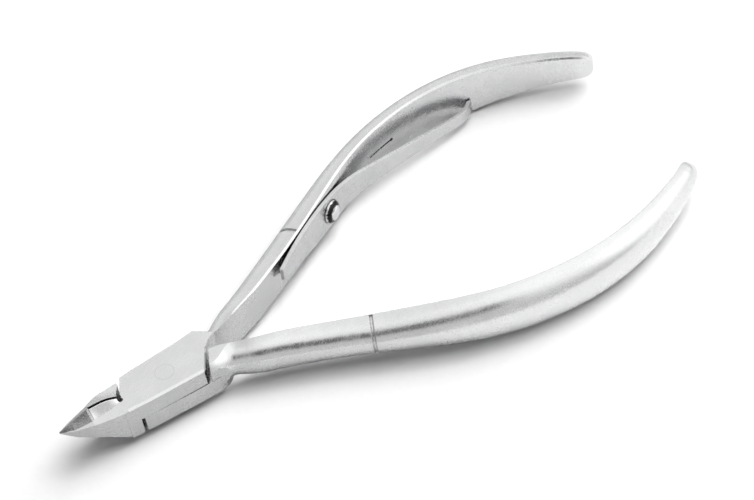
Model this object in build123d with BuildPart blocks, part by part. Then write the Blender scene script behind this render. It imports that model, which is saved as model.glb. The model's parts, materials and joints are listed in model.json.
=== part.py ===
# Cuticle nipper: a hand tool of stainless steel with a half-lapped joint.
#
# Frame: the origin is where the axis of the joint rivet leaves the flat
# underside of the head.
# +X runs back along the tool to the handle ends (the jaws point to -X),
# +Y is the side of the handle that carries the leaf spring,
# +Z is the axis of the joint rivet.  Sizes are millimetres.
# The jaws are modelled closed, the handles as far apart as they are then.

from build123d import *
from math import acos, asin, atan2, cos, degrees, hypot, radians, sin
import os

os.makedirs("parts", exist_ok=True)

# ------------------------------------------------------------ head and joint
LAP_Z = 2.90               # height of the lap plane above the origin
# the other heights are measured from the lap plane
HEAD_TOP = 2.95            # top flat of the head
HEAD_BOT = -LAP_Z          # underside of the head
LAP_GAP = 0.02             # half of the running gap between the lap faces
HEAD_EDGE = 0.30           # bevel round the upper plate
SIDE_BEVEL_ACROSS = 0.50   # shallow bevel along the -Y edge of the upper plate
SIDE_BEVEL_DOWN = 0.11
CUT_REACH = 6.0            # cuts start or end this far out, clear of the metal

THROAT_CENTRE = (-8.06, -0.46)  # round throat at the rear end of the slit
THROAT_FLOOR = 1.0
THROAT_R = 0.42

RIVET_R = 1.25             # joint rivet, straight part
RIVET_END_R = 1.50         # joint rivet, flared flush ends
RIVET_FLARE = 0.45         # length of each flare
RIVET_RUN = 0.03           # running gap of the joint rivet in the lower plate

# outline (x, y) of a lap plate with its jaw root, for the upper plate;
# the lower one is mirrored in Y and differs at the corner by the handle
SLIT_GAP = 0.26            # half of the relief slit behind the cutting edges
PLATE_FRONT = [
    (4.80, -3.90), (-4.6, -3.62), (-6.3, -3.46), (-8.75, -3.30),
    (-8.75, -SLIT_GAP), (-8.45, -0.60), (-7.95, -0.55), (-7.62, 0.05),
    (-7.60, 0.50), (-6.05, 3.45), (-4.0, 3.62), (4.5, 4.02),
]
CROTCH = [(9.90, 2.05), (8.60, 1.45), (7.58, 0.45), (5.28, -3.42)]
UPPER_PLATE = PLATE_FRONT + [(7.46, 4.37)] + CROTCH
LOWER_PLATE = (
    PLATE_FRONT + [(6.80, 4.06), (7.7, 3.90), (8.5, 3.55), (9.2, 3.05), (9.7, 2.45)]
    + CROTCH
)

# cuts in the handle roots, (x, y), drawn for the +Y handle
# pocket behind the lower plate that the other lever's root swings in
POCKET = CROTCH[::-1] + [(11.4, 2.42), (13.4, 2.62), (13.4, -7.0), (5.28, -7.0)]
# inner face of the spring side handle, dished over its full height at the root
DISH = CROTCH[::-1] + [
    (11.2, 2.30), (12.6, 2.68), (14.0, 3.12), (15.5, 3.66), (17.0, 4.22),
    (18.5, 4.80), (20.5, 5.50), (20.5, -7.0), (5.28, -7.0),
]
# front wall of a handle root, facing the other lever's plate
WALL = [(5.62, 4.06), (7.60, 0.36)]
# stretch of a handle root that is cut level with the head flats
ROOT_BLOCK = [(3.0, -7.0), (10.9, -7.0), (10.9, 7.0), (3.0, 7.0)]
# flat side of the head: where it ends, its distance from y = 0, run-out radius
SIDE_FLAT_X = 7.6
SIDE_FLAT_Y = 3.98
RUN_OUT_R = 3.0

# ---------------------------------------------------------------------- jaws
EDGE_GAP = 0.012           # half of the gap between the closed cutting edges

# rear end of a jaw beyond the lap plane from its plate, (x, y);
# the second outline is mirrored in Y when used
JAW_ROOT_MINUS = [
    (-8.20, -SLIT_GAP), (-8.20, -0.70), (-6.62, -2.95), (-6.62, -3.42),
    (-8.75, -3.30),
]
JAW_ROOT_PLUS = [
    (-8.20, -SLIT_GAP), (-8.20, -0.70), (-6.95, -2.48), (-6.95, -2.90),
    (-8.75, -2.80),
]

# jaw on each side of y = 0, by station: x, outer y, underside z, outer edge z,
# bevel border (y, z) and height of the cutting edge
JAW_MINUS = [
    (-18.45, 0.10, 2.66, 2.76, 0.07, 2.82, 2.88),
    (-16.30, 1.30, 1.30, 2.76, 1.12, 2.80, 3.58),
    (-13.50, 2.38, 0.05, 2.96, 1.55, 3.04, 4.36),
    (-13.10, 2.48, -0.15, 2.96, 1.50, 3.05, 4.42),
]
JAW_MINUS_BACK = [
    JAW_MINUS[-1],
    (-12.40, 2.66, -0.50, 2.96, 1.22, 3.04, 4.40),
    (-11.20, 2.92, -1.15, 2.96, 1.04, 3.01, 4.33),
    (-9.70, 3.18, -2.05, 2.955, 0.94, 2.975, 3.98),
    (-8.75, 3.28, -2.60, 2.95, 0.84, 2.96, 3.55),
    (-8.20, 3.335, -2.90, 2.95, 0.78, 2.955, 3.25),
]
JAW_PLUS = [
    (-18.45, 0.10, 2.66, 2.76, 0.07, 2.82, 2.88),
    (-16.30, 0.98, 1.30, 2.76, 0.92, 2.84, 3.58),
    (-13.50, 1.62, 0.05, 2.98, 1.10, 3.48, 4.36),
    (-13.10, 1.75, -0.15, 2.99, 1.12, 3.56, 4.42),
]
JAW_PLUS_BACK = [
    (-13.10, 1.75, -0.15, 2.99, 1.20, 3.56, 4.42),
    (-12.40, 2.05, -0.50, 2.99, 1.40, 3.66, 4.40),
    (-11.20, 2.52, -1.15, 2.98, 1.60, 3.54, 4.32),
    (-9.70, 2.72, -2.05, 2.96, 1.75, 3.22, 3.98),
    (-8.20, 2.84, -2.90, 2.95, 1.80, 2.95, 3.30),
]
# underside width as a share of the outer width: constant in front,
# growing to the full width between these two x positions
JAW_TAPER = 0.94
TAPER_START_X = -13.0
TAPER_END_X = -8.2
JAW_FLOOR_DROP = 0.02      # the underside is this much lower at its inner edge

# ------------------------------------------------------------------- handles
# stations shared by both handles: x, inner face y, half height z,
# then depth of the rounded back on the spring side and on the plain side
HANDLE = [
    (4.4, 0.00, 4.05, 4.30, 4.30),
    (6.2, 0.10, 4.05, 4.35, 4.35),
    (8.0, 0.45, 3.80, 4.10, 4.10),
    (9.4, 0.75, 3.20, 3.62, 3.62),
    (10.9, 1.15, 2.95, 3.52, 3.52),
    (13.2, 2.48, 3.14, 3.62, 3.62),
    (17.0, 4.10, 3.30, 3.90, 3.86),
    (22.0, 6.42, 3.24, 4.19, 4.00),
    (26.0, 8.43, 3.22, 4.33, 4.12),
    (30.0, 10.54, 3.32, 4.38, 4.30),
    (34.0, 12.72, 3.53, 4.34, 4.43),
    (38.0, 14.94, 3.81, 4.22, 4.46),
    (42.0, 17.10, 4.08, 4.08, 4.38),
    (46.0, 18.97, 4.31, 3.98, 4.24),
    (50.0, 20.41, 4.43, 3.99, 4.12),
    (54.0, 21.40, 4.47, 4.06, 4.02),
    (58.0, 22.01, 4.47, 4.15, 3.92),
    (62.0, 22.23, 4.41, 4.21, 3.80),
    (66.0, 22.03, 4.27, 4.25, 3.66),
    (70.0, 21.40, 4.03, 4.25, 3.50),
    (74.0, 20.32, 3.69, 4.17, 3.31),
    (78.0, 18.80, 3.27, 3.95, 3.08),
]
# each handle: x, inner face y, half height z, depth; the last two are its own
SPRING_SIDE = [row[:4] for row in HANDLE] + [
    (82.0, 16.87, 2.86, 3.60),
    (85.6, 14.72, 2.50, 3.20),
]
PLAIN_SIDE = [row[:3] + row[4:] for row in HANDLE] + [
    (81.0, 17.38, 2.91, 2.88),
    (83.6, 15.93, 2.56, 2.70),
]
# rounded handle end: how far beyond the last station, and the scale there
END_CAP = [(1.2, 0.93), (2.15, 0.80), (2.8, 0.60), (3.15, 0.34)]
CAP_SHIFT = 0.36           # outward shift of the cap, as a share of lost depth
END_ANGLE = -33.8          # direction of the handle at its end, degrees
INNER_BEVEL = 0.28         # narrow bevel along the inner edges of a handle

# engraved line round the back of each handle
SPRING_GROOVE_X = 30.8
PLAIN_GROOVE_X = 30.4
GROOVE_SPAN = (30.0, 34.0)   # handle stations on either side of the line
GROOVE_ANGLE = 28.0          # direction of the handle there, degrees
GROOVE_STEPS = [(0.62, 0.09), (0.44, 0.17), (0.26, 0.23)]   # width, depth
GROOVE_START = 0.35          # the line stops this far from the inner face
GROOVE_MARGIN = 1.5          # the cutting ring stands out this far

SLOT_L = 5.30              # short slot in the inner face of the spring side handle
SLOT_W = 0.36
SLOT_DEEP = 0.35
SLOT_END_R = 0.30          # round hole at the slot's far end, twice as deep
SLOT_CUT = 2.0             # length of the slot cuts
SLOT_PLANE = Plane(
    origin=(51.99, 20.98, LAP_Z - 0.2), x_dir=(0.964, 0.266, 0), z_dir=(0.266, -0.964, 0)
)

# ----------------------------------------------- leaf spring and its rivet
LEAF_T = 0.60              # thickness of the leaf spring
LEAF_TILT = radians(29.04)   # direction of the leaf at its rivet, from +X
LEAF_SWING = radians(4.25)   # the leaf lies this far out of line, tip downwards
LEAF_ORIGIN = (38.30, 14.25, LAP_Z)   # rivet point on the outer face of the leaf
LEAF_END = (30.03, 8.44)   # back edge of the leaf end, just clear of the handle
LEAF_HALF_CUT = 4.0        # half width of the leaf before its outline is cut
LEAF_CUT = 20.0            # length of the cut that gives the leaf its outline

PIN_R = 1.00               # spring rivet shank
PIN_RUN = 0.06             # gap between that shank and the hole in the leaf
PIN_DEPTH = 3.60           # shank below the outer face of the leaf
PIN_BORE_OVER = 3.0        # the cut of its seat goes this far beyond that face
DOME_R = 1.95              # spring rivet head
DOME_H = 1.30
DOME_RIM = 0.25            # straight rim below the crown
HEAD_PLAY = 0.03           # play under the spring rivet head

# outer face in the plane of its rivet: along, away from the handle
LEAF_PATH = [
    (-15.40, 0.36), (-12.8, 0.18), (-9.0, 0.03), (-4.5, 0.0), (0.0, 0.0),
    (2.3, 0.06), (5.8, 0.56), (8.5, 1.36), (11.0, 2.32), (13.5, 3.35),
    (18.1, 5.26), (22.9, 7.35), (25.2, 8.36), (27.05, 9.05), (28.3, 9.29),
    (29.5, 9.20), (30.55, 8.95),
]
# along, half width
LEAF_WIDTH = [
    (-15.6, 1.10), (-13.3, 1.52), (-11.0, 1.95), (-8.5, 2.32), (-5.0, 2.66),
    (-1.5, 2.72), (1.8, 2.52), (5.4, 2.22), (8.2, 2.00), (10.9, 1.72),
    (13.8, 1.50), (18.0, 1.28), (22.0, 1.15), (27.0, 1.05), (29.0, 1.10),
    (31.2, 1.25),
]

# directions at the spring rivet: along the handle, and away from it
PIN_ALONG = Vector(cos(LEAF_TILT), sin(LEAF_TILT), 0)
PIN_OUT = Vector(sin(LEAF_TILT), -cos(LEAF_TILT), 0)


# ------------------------------------------------------------------- helpers
# A sketch in a helper doesn't join the part being built, so it is passed on.
def level(height):
    """Horizontal plane at a height above the lap plane."""
    return Plane.XY.offset(LAP_Z + height)


def neighbours(rows, i):
    """Rows before and after row i, or row i itself at either end."""
    return rows[max(i - 1, 0)], rows[min(i + 1, len(rows) - 1)]


def cross_plane(x, y, angle, side):
    """Plane across a handle: local x points outward, angle in degrees."""
    a = radians(angle)
    return Plane(
        origin=(x, side * y, LAP_Z),
        x_dir=(-sin(a), side * cos(a), 0),
        z_dir=(cos(a), side * sin(a), 0),
    )


def d_section(x, y, half_height, depth, angle, side):
    """One D-shaped handle section: flat inner face, rounded back."""
    arc_half = acos(INNER_BEVEL / depth)
    arc_top = half_height * sin(arc_half)
    flat_top = half_height - INNER_BEVEL
    arc_deg = degrees(arc_half)
    with BuildSketch(cross_plane(x, y, angle, side)) as section:
        with BuildLine():
            EllipticalCenterArc(
                (0, 0), depth, half_height, start_angle=-arc_deg, arc_size=2 * arc_deg
            )
            Line((INNER_BEVEL, arc_top), (0, flat_top))
            Line((0, flat_top), (0, -flat_top))
            Line((0, -flat_top), (INNER_BEVEL, -arc_top))
        make_face()
    return section.sketch.faces()[0]


def handle(stations, side):
    """Lofts one handle from the head to its rounded end."""
    body = []
    for i, (x, y, half_height, depth) in enumerate(stations):
        before, after = neighbours(stations, i)
        angle = degrees(atan2(after[1] - before[1], after[0] - before[0]))
        if i == len(stations) - 1:
            angle = END_ANGLE
        body.append(d_section(x, y, half_height, depth, angle, side))
    loft(sections=body)
    x, y, half_height, depth = stations[-1]
    end = radians(END_ANGLE)
    cap = [body[-1]]
    for along, scale in END_CAP:
        cap_x = x + along * cos(end)
        cap_y = y + along * sin(end) + (1 - scale) * depth * CAP_SHIFT
        cap.append(
            d_section(cap_x, cap_y, half_height * scale, depth * scale, END_ANGLE, side)
        )
    loft(sections=cap)


def jaw_section(row, side, gap):
    """One jaw section, from its cutting edge round to its underside."""
    x, outer_y, under_z, outer_z, bevel_y, bevel_z, edge_z = row
    rise = (x - TAPER_START_X) / (TAPER_END_X - TAPER_START_X)
    taper = JAW_TAPER + (1 - JAW_TAPER) * max(0.0, min(1.0, rise))
    points = [
        (side * gap, edge_z), (side * bevel_y, bevel_z), (side * outer_y, outer_z),
        (side * outer_y * taper, under_z), (side * gap, under_z - JAW_FLOOR_DROP),
    ]
    plane = Plane(origin=(x, 0, LAP_Z), x_dir=(0, 1, 0), z_dir=(1, 0, 0))
    with BuildSketch(plane) as section:
        with BuildLine():
            Polyline(*points, close=True)
        make_face()
    return section.sketch.faces()[0]


def jaw(front, rear, side):
    """One jaw: cutting bevel in front, raised inner edge behind it."""
    loft(sections=[jaw_section(row, side, EDGE_GAP) for row in front], ruled=True)
    loft(sections=[jaw_section(row, side, SLIT_GAP) for row in rear])


def slab(points, side, bottom, top, mode=Mode.ADD):
    """Extrudes an outline between two heights; side -1 mirrors it in Y."""
    with BuildSketch(level(bottom)) as outline:
        with BuildLine():
            Polyline(*[(x, side * y) for x, y in points], close=True)
        make_face()
    extrude(outline.sketch, amount=top - bottom, mode=mode)


def side_flat(side):
    """Cuts the flat side of the head, with a round run-out at its rear end."""
    length = 4.0
    with BuildSketch(level(-CUT_REACH)) as wheel:
        with Locations((SIDE_FLAT_X - length / 2, side * (SIDE_FLAT_Y + RUN_OUT_R))):
            Rectangle(length, 2 * RUN_OUT_R)
        with Locations((SIDE_FLAT_X, side * (SIDE_FLAT_Y + RUN_OUT_R))):
            Circle(RUN_OUT_R)
    extrude(wheel.sketch, amount=2 * CUT_REACH, mode=Mode.SUBTRACT)


def trim_root(side):
    """Cuts the head flats and the lap clearances out of a handle root."""
    over = 4.0
    slab(ROOT_BLOCK, 1, HEAD_TOP, HEAD_TOP + over, Mode.SUBTRACT)
    slab(ROOT_BLOCK, 1, HEAD_BOT - over, HEAD_BOT, Mode.SUBTRACT)
    side_flat(side)
    # the half that faces the other lever's lap plate, its wall carried outward
    (outer_x, outer_y), (inner_x, inner_y) = WALL
    out, past = 3.0, 1.6
    front_x = ROOT_BLOCK[0][0]
    far_x = outer_x + (inner_x - outer_x) * out / (inner_y - outer_y)
    front = [
        (front_x, outer_y + out), (far_x, outer_y + out), (inner_x, inner_y),
        (inner_x + 0.2, inner_y - past), (front_x, inner_y - past),
    ]
    if side > 0:
        slab(front, side, -CUT_REACH, LAP_GAP, Mode.SUBTRACT)
        slab(DISH, side, -CUT_REACH, CUT_REACH, Mode.SUBTRACT)
    else:
        slab(front, side, -LAP_GAP, CUT_REACH, Mode.SUBTRACT)
        slab(POCKET, side, -CUT_REACH, -LAP_GAP, Mode.SUBTRACT)


def trimmed_handle(stations, side):
    """One handle with its root cut to fit the head."""
    with BuildPart() as trimmed:
        handle(stations, side)
        trim_root(side)
    return trimmed.part


def groove(stations, side, at_x):
    """Engraved line with a stepped, near round bottom across the rounded back."""
    before, after = [row for row in stations if row[0] in GROOVE_SPAN]
    share = (at_x - before[0]) / (after[0] - before[0])
    y, half_height, depth = [
        before[i] + share * (after[i] - before[i]) for i in (1, 2, 3)
    ]
    a = radians(GROOVE_ANGLE)
    block = depth + 2 * GROOVE_MARGIN
    for width, cut in GROOVE_STEPS:
        plane = cross_plane(
            at_x - width / 2 * cos(a), y - width / 2 * sin(a), GROOVE_ANGLE, side
        )
        with BuildSketch(plane) as ring:
            Ellipse(depth + GROOVE_MARGIN, half_height + GROOVE_MARGIN)
            Ellipse(depth - cut, half_height - cut, mode=Mode.SUBTRACT)
            with Locations((-block / 2 + GROOVE_START, 0)):
                Rectangle(block, 2 * half_height + 4 * GROOVE_MARGIN, mode=Mode.SUBTRACT)
        extrude(ring.sketch, amount=width, mode=Mode.SUBTRACT)


def rivet_hole(run, flare_root, flare_end):
    """Joint rivet hole with a gap round the rivet, flared between two heights."""
    with BuildSketch(level(-CUT_REACH)) as bore:
        Circle(RIVET_R + run)
    extrude(bore.sketch, amount=2 * CUT_REACH, mode=Mode.SUBTRACT)
    with BuildSketch(level(flare_root)) as narrow:
        Circle(RIVET_R + run)
    with BuildSketch(level(flare_end)) as wide:
        Circle(RIVET_END_R + run)
    loft(
        sections=[narrow.sketch.faces()[0], wide.sketch.faces()[0]], mode=Mode.SUBTRACT
    )


# -------------------------------------------------------------------- pieces
def make_spring_lever():
    """Upper lap plate, jaw on the -Y side, handle with the leaf spring on +Y."""
    handle_part = trimmed_handle(SPRING_SIDE, 1)
    with BuildPart() as lever:
        slab(UPPER_PLATE, 1, LAP_GAP, HEAD_TOP)
        # bevel the top rim except along the -Y edge, which then gets its own
        rim = (
            lever.edges()
            .filter_by(Plane.XY)
            .group_by(Axis.Z)[-1]
            .filter_by(lambda e: e.center().Y < -3 or e.center().X > 5)
            .filter_by(lambda e: e.center().Y < 1.8 and e.center().X > -8)
        )
        side_edges = rim.filter_by(lambda e: e.center().Y < -3.2)
        chamfer(rim - side_edges, HEAD_EDGE)
        side_edges = (
            lever.edges()
            .group_by(Axis.Z)[-1]
            .filter_by(lambda e: e.center().Y < -3.2 and e.center().X > -8)
        )
        top = lever.faces().sort_by(Axis.Z)[-1]
        chamfer(side_edges, SIDE_BEVEL_ACROSS, SIDE_BEVEL_DOWN, reference=top)
        slab(JAW_ROOT_MINUS, 1, HEAD_BOT, LAP_GAP)
        jaw(JAW_MINUS, JAW_MINUS_BACK, -1)
        add(handle_part)
        # round throat at the rear end of the slit
        with BuildSketch(level(THROAT_FLOOR)):
            with Locations(THROAT_CENTRE):
                Circle(THROAT_R)
        extrude(amount=CUT_REACH, mode=Mode.SUBTRACT)
        groove(SPRING_SIDE, 1, SPRING_GROOVE_X)
        rivet_hole(0, HEAD_TOP - RIVET_FLARE, HEAD_TOP)
        # blind seat of the spring rivet in the inner face
        pin_plane = Plane(origin=LEAF_ORIGIN, x_dir=PIN_ALONG, z_dir=PIN_OUT)
        with BuildSketch(pin_plane.offset(-PIN_DEPTH)):
            Circle(PIN_R)
        extrude(amount=PIN_DEPTH + PIN_BORE_OVER, mode=Mode.SUBTRACT)
        # short slot along the middle of the inner face, deeper at its far end
        with BuildSketch(SLOT_PLANE.offset(-SLOT_DEEP)):
            SlotOverall(SLOT_L, SLOT_W)
        extrude(amount=SLOT_CUT, mode=Mode.SUBTRACT)
        with BuildSketch(SLOT_PLANE.offset(-2 * SLOT_DEEP)):
            with Locations((SLOT_L / 2 - SLOT_END_R, 0)):
                Circle(SLOT_END_R)
        extrude(amount=SLOT_CUT, mode=Mode.SUBTRACT)
    return lever.part


def make_plain_lever():
    """Lower lap plate, jaw on the +Y side, handle on -Y."""
    handle_part = trimmed_handle(PLAIN_SIDE, -1)
    with BuildPart() as lever:
        slab(LOWER_PLATE, -1, HEAD_BOT, -LAP_GAP)
        slab(JAW_ROOT_PLUS, -1, -LAP_GAP, HEAD_TOP)
        jaw(JAW_PLUS, JAW_PLUS_BACK, 1)
        add(handle_part)
        groove(PLAIN_SIDE, -1, PLAIN_GROOVE_X)
        rivet_hole(RIVET_RUN, HEAD_BOT + RIVET_FLARE, HEAD_BOT)
    return lever.part


def make_joint_rivet():
    """Straight rivet with a flared, flush end on each side."""
    with BuildPart() as rivet:
        with BuildSketch(Plane(origin=(0, 0, LAP_Z), x_dir=(1, 0, 0), z_dir=(0, -1, 0))):
            with BuildLine():
                Polyline(
                    (0, HEAD_BOT), (RIVET_END_R, HEAD_BOT),
                    (RIVET_R, HEAD_BOT + RIVET_FLARE), (RIVET_R, HEAD_TOP - RIVET_FLARE),
                    (RIVET_END_R, HEAD_TOP), (0, HEAD_TOP), close=True,
                )
            make_face()
        revolve(axis=Axis.Z)
    return rivet.part


def leaf_back():
    """Inner face of the leaf: its path offset by the thickness."""
    back = []
    for i, (along, out) in enumerate(LEAF_PATH[:-1]):
        before, after = neighbours(LEAF_PATH, i)
        run, rise = after[0] - before[0], after[1] - before[1]
        scale = LEAF_T / hypot(run, rise)
        back.append((along + scale * rise, out - scale * run))
    return back + [LEAF_END]


def make_leaf():
    """Bent leaf: its side profile, cut to its outline in width."""
    leaf_along = PIN_ALONG * cos(LEAF_SWING) + Vector(0, 0, -1) * sin(LEAF_SWING)
    leaf_across = leaf_along.cross(PIN_OUT)
    profile_plane = Plane(origin=LEAF_ORIGIN, x_dir=leaf_along, z_dir=leaf_across)
    width_plane = Plane(origin=LEAF_ORIGIN, x_dir=leaf_along, z_dir=PIN_OUT)
    back = leaf_back()
    with BuildPart() as leaf:
        with BuildSketch(profile_plane):
            with BuildLine():
                Spline(*LEAF_PATH)
                Spline(*back)
                Line(LEAF_PATH[0], back[0])
                Line(LEAF_PATH[-1], back[-1])
            make_face()
        extrude(amount=LEAF_HALF_CUT, both=True)
        with BuildSketch(width_plane.offset(-CUT_REACH)):
            with BuildLine():
                Spline(*LEAF_WIDTH)
                Spline(*[(along, -half) for along, half in LEAF_WIDTH])
                for along, half in (LEAF_WIDTH[-1], LEAF_WIDTH[0]):
                    Line((along, half), (along, -half))
            make_face()
        extrude(amount=LEAF_CUT, mode=Mode.INTERSECT)
        with BuildSketch(width_plane.offset(-CUT_REACH)):
            Circle(PIN_R + PIN_RUN)
        extrude(amount=2 * CUT_REACH, mode=Mode.SUBTRACT)
    return leaf.part


def make_spring_rivet():
    """Shank and domed head; the crown is part of a sphere."""
    rise = DOME_H - DOME_RIM
    crown_r = (DOME_R**2 + rise**2) / (2 * rise)
    half_crown = asin(DOME_R / crown_r) / 2
    crown_centre = HEAD_PLAY + DOME_H - crown_r
    # local x is +Z, local y points away from the handle
    plane = Plane(origin=LEAF_ORIGIN, x_dir=(0, 0, 1), z_dir=PIN_ALONG)
    with BuildPart() as rivet:
        with BuildSketch(plane):
            with BuildLine():
                Polyline(
                    (0, HEAD_PLAY + DOME_H), (0, -PIN_DEPTH), (PIN_R, -PIN_DEPTH),
                    (PIN_R, HEAD_PLAY), (DOME_R, HEAD_PLAY),
                    (DOME_R, HEAD_PLAY + DOME_RIM),
                )
                ThreePointArc(
                    (DOME_R, HEAD_PLAY + DOME_RIM),
                    (crown_r * sin(half_crown), crown_centre + crown_r * cos(half_crown)),
                    (0, HEAD_PLAY + DOME_H),
                )
            make_face()
        revolve(axis=Axis(LEAF_ORIGIN, PIN_OUT))
    return rivet.part


# -------------------------------------------------------------------- export
pieces = {
    "spring_side_lever": make_spring_lever(),
    "plain_side_lever": make_plain_lever(),
    "joint_rivet": make_joint_rivet(),
    "leaf_spring": make_leaf(),
    "spring_rivet": make_spring_rivet(),
}
for name, piece in pieces.items():
    piece.label = name
    export_step(piece, f"parts/{name}.step")
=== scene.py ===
"""Small steel nippers lying on a pale floor.

Two levers lap at a flush rivet on the Z axis. The jaws point to -X and the
handles to +X, with a leaf spring held by a domed rivet. Z is up.
"""

import bpy
import json
import math
from mathutils import Matrix, Vector


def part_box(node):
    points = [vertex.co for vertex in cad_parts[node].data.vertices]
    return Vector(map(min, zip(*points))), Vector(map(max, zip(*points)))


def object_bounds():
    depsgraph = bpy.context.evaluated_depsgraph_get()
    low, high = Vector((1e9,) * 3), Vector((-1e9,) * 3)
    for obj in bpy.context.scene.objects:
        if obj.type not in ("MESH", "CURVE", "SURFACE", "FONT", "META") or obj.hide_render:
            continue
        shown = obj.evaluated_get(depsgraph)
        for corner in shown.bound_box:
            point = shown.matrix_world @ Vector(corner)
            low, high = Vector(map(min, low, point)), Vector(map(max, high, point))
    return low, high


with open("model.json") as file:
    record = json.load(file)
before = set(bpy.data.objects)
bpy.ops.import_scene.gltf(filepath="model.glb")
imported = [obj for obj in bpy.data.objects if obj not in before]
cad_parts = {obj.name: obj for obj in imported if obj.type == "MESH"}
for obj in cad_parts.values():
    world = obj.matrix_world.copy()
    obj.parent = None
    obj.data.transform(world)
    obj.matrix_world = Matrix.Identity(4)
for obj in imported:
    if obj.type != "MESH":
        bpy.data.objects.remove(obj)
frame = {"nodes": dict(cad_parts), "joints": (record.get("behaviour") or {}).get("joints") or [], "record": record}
start_lo, start_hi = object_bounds()

MM = 0.001
scene = bpy.context.scene
scene.view_settings.view_transform = "Standard"
scene.view_settings.look = "None"
scene.view_settings.exposure = 0.0
scene.view_settings.gamma = 1.0


def spring_swing(joints):
    """The joint the leaf spring turns on."""
    return next(joint for joint in joints if joint["name"] == "leaf_spring_swing")


# ---------------------------------------------------------------- dimensions
AIM_X = 25 * MM  # the view and the lights aim here, on y = 0
lap_z = spring_swing(frame["joints"])["pos_m"][2]  # lap plane of the head
floor_z = start_lo.z - 0.02 * MM

# The materials work in mm.
jaw_x = start_lo.x / MM  # tip of the jaws
rivet_lo, rivet_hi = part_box("joint_rivet")
rivet_radius = (rivet_hi.x - rivet_lo.x) / 2 / MM

swing = spring_swing(frame["record"]["behaviour"]["joints"])
dome_lo, dome_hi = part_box("spring_rivet")
DOME = {
    "centre": Vector(swing["pos_m"]) / MM,
    "axis": Vector(swing["axis"]).normalized(),
    "radius": (dome_hi.z - dome_lo.z) / 2 / MM,
}


# --------------------------------------------------------------- node helpers
class Graph:
    """Small wrapper that keeps node trees short to write."""

    def __init__(self, tree):
        self.tree = tree
        tree.nodes.clear()

    def node(self, kind, inputs=None, **settings):
        """Add a node; each input is either a socket to link or a value."""
        made = self.tree.nodes.new(kind)
        for key, value in settings.items():
            setattr(made, key, value)
        for key, value in (inputs or {}).items():
            if isinstance(value, bpy.types.NodeSocket):
                self.tree.links.new(value, made.inputs[key])
            else:
                made.inputs[key].default_value = value
        return made

    def math(self, operation, a, b=0.0):
        return self.node("ShaderNodeMath", {0: a, 1: b}, operation=operation).outputs[0]

    def vector(self, operation, *operands):
        made = self.node("ShaderNodeVectorMath", dict(enumerate(operands)), operation=operation)
        is_number = operation in ("DOT_PRODUCT", "LENGTH")
        return made.outputs["Value" if is_number else "Vector"]

    def scale(self, vector, factor):
        inputs = {0: vector, "Scale": factor}
        return self.node("ShaderNodeVectorMath", inputs, operation="SCALE").outputs[0]

    def split(self, vector):
        return self.node("ShaderNodeSeparateXYZ", {0: vector}).outputs

    def ramp(self, value, over=(0.0, 1.0), to=(0.0, 1.0), kind="SMOOTHSTEP"):
        """Map the range 'over' onto the range 'to'."""
        inputs = {
            "Value": value,
            "From Min": over[0], "From Max": over[1],
            "To Min": to[0], "To Max": to[1],
        }
        return self.node("ShaderNodeMapRange", inputs, interpolation_type=kind).outputs["Result"]

    def noise(self, place, scale, detail=3.0, roughness=0.55):
        inputs = {"Vector": place, "Scale": scale, "Detail": detail, "Roughness": roughness}
        return self.node("ShaderNodeTexNoise", inputs).outputs["Fac"]

    def stretch(self, place, angle, scale):
        """Coordinates turned by angle about Z, then scaled per axis."""
        turn = {"Vector": place, "Rotation": (0.0, 0.0, -angle)}
        turned = self.node("ShaderNodeMapping", turn).outputs[0]
        return self.node("ShaderNodeMapping", {"Vector": turned, "Scale": scale}).outputs[0]


def material(name):
    made = bpy.data.materials.new(name)
    made.use_nodes = True
    return made, Graph(made.node_tree)


# ---------------------------------------------------------------------- steel
def worn_edges(g, normal, from_axis):
    """The rounded normal, and a mask of where it differs from the true one."""
    # edges close to the rivet stay sharper
    radius = g.ramp(from_axis, over=(1.7, 2.4), to=(0.015 * MM, 0.10 * MM))
    rounded = g.node("ShaderNodeBevel", {"Radius": radius}, samples=4).outputs[0]
    bend = g.vector("DOT_PRODUCT", rounded, normal)
    return rounded, g.ramp(bend, over=(0.995, 0.90))


def rivet_seam(g, from_axis, normal):
    """Shade of the hairline round the flush rivet, on upward faces only."""
    offset = g.math("ABSOLUTE", g.math("SUBTRACT", from_axis, rivet_radius))
    up = g.split(normal)[2]
    seam = g.math("MULTIPLY", g.ramp(offset, over=(0.07, 0.02)), g.ramp(up, over=(0.9, 0.99)))
    return g.ramp(seam, to=(1.0, 0.86))


def honed_bevel_mottle_and_shade(g, place, x, up):
    """Colour of the blades' sloping bevels near the tip: coarse honing mottle, plus painted shade that makes them
    darker than the rest.
    """
    sloping = g.math("MULTIPLY", g.ramp(up, over=(0.86, 0.80)), g.ramp(up, over=(0.25, 0.40)))
    near_tip = g.ramp(x, over=(jaw_x + 5.6, jaw_x + 5.0))
    bevel_mask = g.math("MULTIPLY", sloping, near_tip)
    mottle = g.noise(place, scale=6.0, detail=3.0, roughness=0.7)
    mottle_and_shade = g.ramp(mottle, over=(0.35, 0.65), to=(0.52, 0.80))
    return g.math("ADD", 1.0, g.math("MULTIPLY", bevel_mask, g.math("SUBTRACT", mottle_and_shade, 1.0)))


def painted_crevice_shade(g, distance, over, darkest):
    """Painted shade in seams, slits and gaps between parts, darker where less light gets in."""
    inputs = {"Distance": distance}
    openness = g.node("ShaderNodeAmbientOcclusion", inputs, samples=6).outputs["AO"]
    return g.ramp(openness, over=over, to=(darkest, 1.0))


def painted_outline_shade(g, up):
    """Painted shade on the thin outline where a rounded upward side turns away from the view."""
    facing = g.node("ShaderNodeLayerWeight", {"Blend": 0.5}).outputs["Facing"]
    rim = g.math("MULTIPLY", g.ramp(facing, over=(0.70, 0.93)), g.ramp(up, over=(-0.10, 0.12)))
    return g.ramp(rim, to=(1.0, 0.32))


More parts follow.
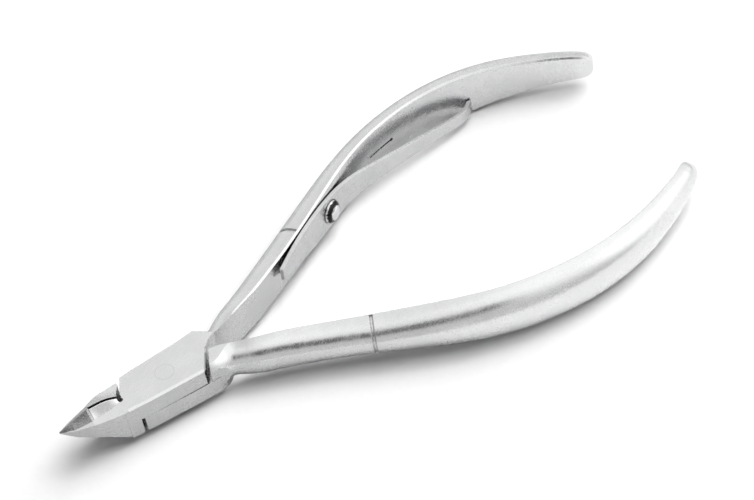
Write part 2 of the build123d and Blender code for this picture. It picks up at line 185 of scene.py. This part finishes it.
def dome_painted_reflection(g, place, lumps, dome):
    """Painted reflection: the dark ring that the polished dome mirrors round its foot."""
    arm = g.vector("SUBTRACT", place, dome["centre"])
    arm = g.vector("CROSS_PRODUCT", arm, dome["axis"])
    distance = g.vector("LENGTH", arm)
    distance = g.math("ADD", distance, g.ramp(lumps, over=(0.3, 0.7), to=(-0.10, 0.10)))
    radius = dome["radius"]
    inner = g.ramp(distance, over=(0.60 * radius, 0.68 * radius))
    outer = g.ramp(distance, over=(0.99 * radius, 0.92 * radius))
    return g.ramp(g.math("MULTIPLY", inner, outer), to=(1.0, 0.03))


def steel(name, tint, roughness, grain_angle, grain, speckle, dome=None):
    """Satin stainless steel: fine grinding lines, mottling, worn edges, with painted shade, and on the dome a
    painted reflection.

    grain and speckle are the strengths of the grinding lines and the mottling.
    """
    made, g = material(name)
    metres = g.node("ShaderNodeTexCoord").outputs["Object"]
    place = g.scale(metres, 1000.0)

    # the lines run along the grain, so noise is stretched that way
    lines = g.noise(g.stretch(place, grain_angle, scale=(0.35, 14.0, 14.0)),
                    scale=1.0, detail=4.0, roughness=0.6)
    fine = g.noise(g.stretch(place, grain_angle, scale=(1.2, 45.0, 45.0)),
                   scale=1.0, detail=2.0, roughness=0.5)
    lumps = g.noise(place, scale=3.2, detail=3.0, roughness=0.6)
    cloud = g.noise(place, scale=0.22, detail=4.0, roughness=0.6)
    pits = g.noise(place, scale=9.0, detail=2.0, roughness=0.7)

    normal = g.node("ShaderNodeNewGeometry").outputs["Normal"]
    x, y, _ = g.split(place)
    flat = g.node("ShaderNodeCombineXYZ", {0: x, 1: y}).outputs[0]
    from_axis = g.vector("LENGTH", flat)
    rounded, edge = worn_edges(g, normal, from_axis)

    # colour: slow clouds, grinding lines, dark pits, brighter edges
    shade = g.math(
        "ADD",
        g.ramp(cloud, over=(0.3, 0.7), to=(-0.035, 0.035)),
        g.ramp(lines, over=(0.25, 0.75), to=(-0.07 * grain, 0.07 * grain)),
    )
    shade = g.math("ADD", shade, g.ramp(pits, over=(0.62, 0.80), to=(0.0, -0.10 * speckle)))
    shade = g.math("ADD", shade, g.math("MULTIPLY", edge, 0.09))
    color = g.scale(tint, g.math("ADD", 1.0, shade))

    # roughness: the same textures, with smoother edges
    rough = roughness
    for texture, over, to in (
        (cloud, (0.3, 0.7), (-0.04, 0.04)),
        (fine, (0.2, 0.8), (-0.05 * grain, 0.05 * grain)),
        (lumps, (0.35, 0.75), (-0.02 * speckle, 0.06 * speckle)),
    ):
        rough = g.math("ADD", rough, g.ramp(texture, over=over, to=to))
    rough = g.math("SUBTRACT", rough, g.math("MULTIPLY", edge, 0.08))

    # relief: height is a weighted sum of the lines and the lumps
    height = g.math(
        "ADD", g.math("MULTIPLY", lines, 0.6 * grain), g.math("MULTIPLY", fine, 0.35 * grain)
    )
    height = g.math("ADD", height, g.math("MULTIPLY", lumps, 1.2 * speckle))
    relief = {"Strength": 0.35, "Distance": 0.012 * MM, "Height": height, "Normal": rounded}
    bumped = g.node("ShaderNodeBump", relief).outputs[0]

    # darker places: the seam round the rivet, painted shade and a painted reflection
    color = g.scale(color, rivet_seam(g, from_axis, normal))
    up = g.split(normal)[2]
    # blade bevels: honing mottle plus painted shade
    color = g.scale(color, honed_bevel_mottle_and_shade(g, place, x, up))
    # painted shade in crevices: near black in deep slits, milder in fine seams
    color = g.scale(color, painted_crevice_shade(g, distance=1.1 * MM, over=(0.05, 0.36), darkest=0.04))
    color = g.scale(color, painted_crevice_shade(g, distance=0.35 * MM, over=(0.48, 0.88), darkest=0.22))
    # painted shade along outlines seen edge-on
    color = g.scale(color, painted_outline_shade(g, up))
    # painted reflection: dark ring on the domed rivet
    if dome is not None:
        color = g.scale(color, dome_painted_reflection(g, place, lumps, dome))

    surface = {"Base Color": color, "Metallic": 1.0, "Roughness": rough, "Normal": bumped}
    bsdf = g.node("ShaderNodeBsdfPrincipled", surface)
    g.node("ShaderNodeOutputMaterial", {"Surface": bsdf.outputs[0]})
    return made


def dress(piece, made):
    """Make this the only material of the piece."""
    mesh = frame["nodes"][piece].data
    mesh.materials.clear()
    mesh.materials.append(made)
    mesh.polygons.foreach_set("material_index", [0] * len(mesh.polygons))


STEEL_TINT = (0.62, 0.623, 0.626)
LEVER_GRAIN = math.radians(18)  # the two levers' lines mirror each other
dress("spring_side_lever", steel(
    "steel_spring_side", tint=STEEL_TINT, roughness=0.25,
    grain_angle=LEVER_GRAIN, grain=0.6, speckle=0.8,
))
dress("plain_side_lever", steel(
    "steel_plain_side", tint=STEEL_TINT, roughness=0.25,
    grain_angle=-LEVER_GRAIN, grain=0.6, speckle=0.9,
))
dress("joint_rivet", steel(
    "steel_rivet", tint=STEEL_TINT, roughness=0.28,
    grain_angle=0.3, grain=0.5, speckle=0.3,
))
dress("leaf_spring", steel(
    "steel_leaf", tint=(0.60, 0.603, 0.607), roughness=0.28,
    grain_angle=math.radians(29), grain=0.9, speckle=0.5,
))
dress("spring_rivet", steel(
    "steel_dome", tint=(0.70, 0.70, 0.71), roughness=0.10,
    grain_angle=0.0, grain=0.1, speckle=0.1, dome=DOME,
))


# ---------------------------------------------------------------------- floor
def floor_material():
    """Matt pale floor, evenly pale to the camera. Its mirror image is painted: darker near the head as painted
    shade, brightening towards the handle ends with a painted glow.
    """
    paleness = 0.88
    made, g = material("pale_floor")
    mirrored = g.node("ShaderNodeLightPath").outputs["Is Glossy Ray"]
    place = g.node("ShaderNodeTexCoord").outputs["Object"]
    x, y, _ = g.split(place)
    along = g.math("SUBTRACT", x, g.math("MULTIPLY", y, 1.2))
    # painted shade: the floor as mirrored is darker near the head
    seen = g.ramp(along, over=(16 * MM, 72 * MM), to=(0.66, 0.98), kind="LINEAR")
    dimmer = g.math("SUBTRACT", paleness, seen)
    # painted glow towards the handle ends, seen only in reflections
    painted_end_glow = g.ramp(along, over=(58 * MM, 95 * MM), to=(0.0, 0.14), kind="LINEAR")
    glow = g.math("MULTIPLY", mirrored, painted_end_glow)
    pale = g.math("SUBTRACT", paleness, g.math("MULTIPLY", mirrored, dimmer))
    grain = g.noise(place, scale=900.0)
    pale = g.math("MULTIPLY", pale, g.ramp(grain, over=(0.3, 0.7), to=(0.992, 1.008)))
    gray = g.node("ShaderNodeCombineColor", {0: pale, 1: pale, 2: pale}).outputs[0]
    bsdf = g.node("ShaderNodeBsdfPrincipled", {
        "Base Color": gray,
        "Roughness": 0.9,
        "Specular IOR Level": 0.1,
        "Emission Color": (1, 1, 1, 1),
        "Emission Strength": glow,
    })
    g.node("ShaderNodeOutputMaterial", {"Surface": bsdf.outputs[0]})
    return made


def floor():
    """Square grid just below the nippers."""
    cells, half = 24, 1.6
    row = cells + 1
    steps = [-half + 2 * half * i / cells for i in range(row)]
    verts = [(x, y, floor_z) for x in steps for y in steps]
    corners = [i * row + j for i in range(cells) for j in range(cells)]
    faces = [(a, a + row, a + row + 1, a + 1) for a in corners]
    mesh = bpy.data.meshes.new("floor")
    mesh.from_pydata(verts, [], faces)
    made = bpy.data.objects.new("floor", mesh)
    scene.collection.objects.link(made)
    mesh.materials.append(floor_material())
    return made


floor_object = floor()


# ---------------------------------------------------------------------- light
def room():
    """White room, brightest above the handles, dark where one looks in."""
    world = bpy.data.worlds.new("studio")
    scene.world = world
    world.use_nodes = True
    g = Graph(world.node_tree)
    direction = g.node("ShaderNodeTexCoord").outputs["Generated"]

    def patch(toward, over, to):
        """Level that changes as the direction (a cosine) nears 'toward'."""
        axis = tuple(Vector(toward).normalized())
        return g.ramp(g.vector("DOT_PRODUCT", direction, axis), over=over, to=to)

    sky = patch((0.45, -0.10, 0.88), over=(0.40, 0.95), to=(0.80, 1.52))
    # operation, direction, cosines where it starts and is full, strength
    for operation, toward, over, strength in (
        ("ADD", (0.81, -0.39, 0.44), (0.80, 0.96), 0.45),
        ("ADD", (0.15, 0.95, 0.22), (0.84, 0.98), 0.30),
        ("SUBTRACT", (-0.22, 0.42, 0.88), (0.88, 0.98), 0.26),
    ):
        sky = g.math(operation, sky, patch(toward, over=over, to=(0.0, strength)))
    gap_edge = (math.cos(math.radians(17)), math.cos(math.radians(8)))
    gap = patch((-0.365, -0.585, 0.725), over=gap_edge, to=(1.0, 0.08))
    level = g.math("MULTIPLY", sky, gap)
    glow = {"Color": (1, 1, 1, 1), "Strength": level}
    background = g.node("ShaderNodeBackground", glow)
    g.node("ShaderNodeOutputWorld", {"Surface": background.outputs[0]})
    # the room is what the metal mirrors; the floor has its own soft lights
    world.cycles_visibility.diffuse = False


def softbox(name, toward, distance, size, power, receivers):
    """Round area light aimed at the floor, unseen in reflections."""
    data = bpy.data.lights.new(name, "AREA")
    data.shape = "DISK"
    data.size = size
    data.energy = power
    lamp = bpy.data.objects.new(name, data)
    away = Vector(toward).normalized()
    lamp.location = Vector((AIM_X, 0, floor_z)) + away * distance
    lamp.rotation_mode = "QUATERNION"
    lamp.rotation_quaternion = away.to_track_quat("Z", "Y")
    lamp.visible_glossy = False
    scene.collection.objects.link(lamp)
    lamp.light_linking.receiver_collection = receivers


room()
floor_only = bpy.data.collections.new("floor_only")
floor_only.objects.link(floor_object)
# name, direction from the floor, distance (m), diameter (m), power (W)
for light in (
    ("floor_key", (0.38, -0.20, 0.90), 2.5, 2.1, 40.0),
    ("floor_key_low", (0.66, 0.14, 0.74), 2.5, 2.1, 49.0),
    ("floor_fill", (0.05, 0.0, 0.99), 1.2, 4.8, 13.2),
):
    softbox(*light, floor_only)


# --------------------------------------------------------------------- camera
def camera():
    """Long lens looking down from the -Y side."""
    back = Vector((-0.2486, -0.6366, 0.7301)).normalized()
    right = Vector((0.8388, -0.5184, -0.1665))
    right = (right - back * right.dot(back)).normalized()
    up = back.cross(right).normalized()
    distance = 500 * MM

    data = bpy.data.cameras.new("camera")
    data.sensor_fit = "HORIZONTAL"
    data.sensor_width = 36.0
    data.lens = 155.943788
    data.shift_x = 0.0929827586
    data.shift_y = 0.0720755968
    data.clip_start = 0.01
    data.clip_end = 20.0
    made = bpy.data.objects.new("camera", data)
    turn = Matrix((right, up, back)).transposed().to_4x4()
    aim = Vector((AIM_X, 0, lap_z))
    made.matrix_world = Matrix.Translation(aim + back * distance) @ turn
    scene.collection.objects.link(made)
    scene.camera = made


camera()
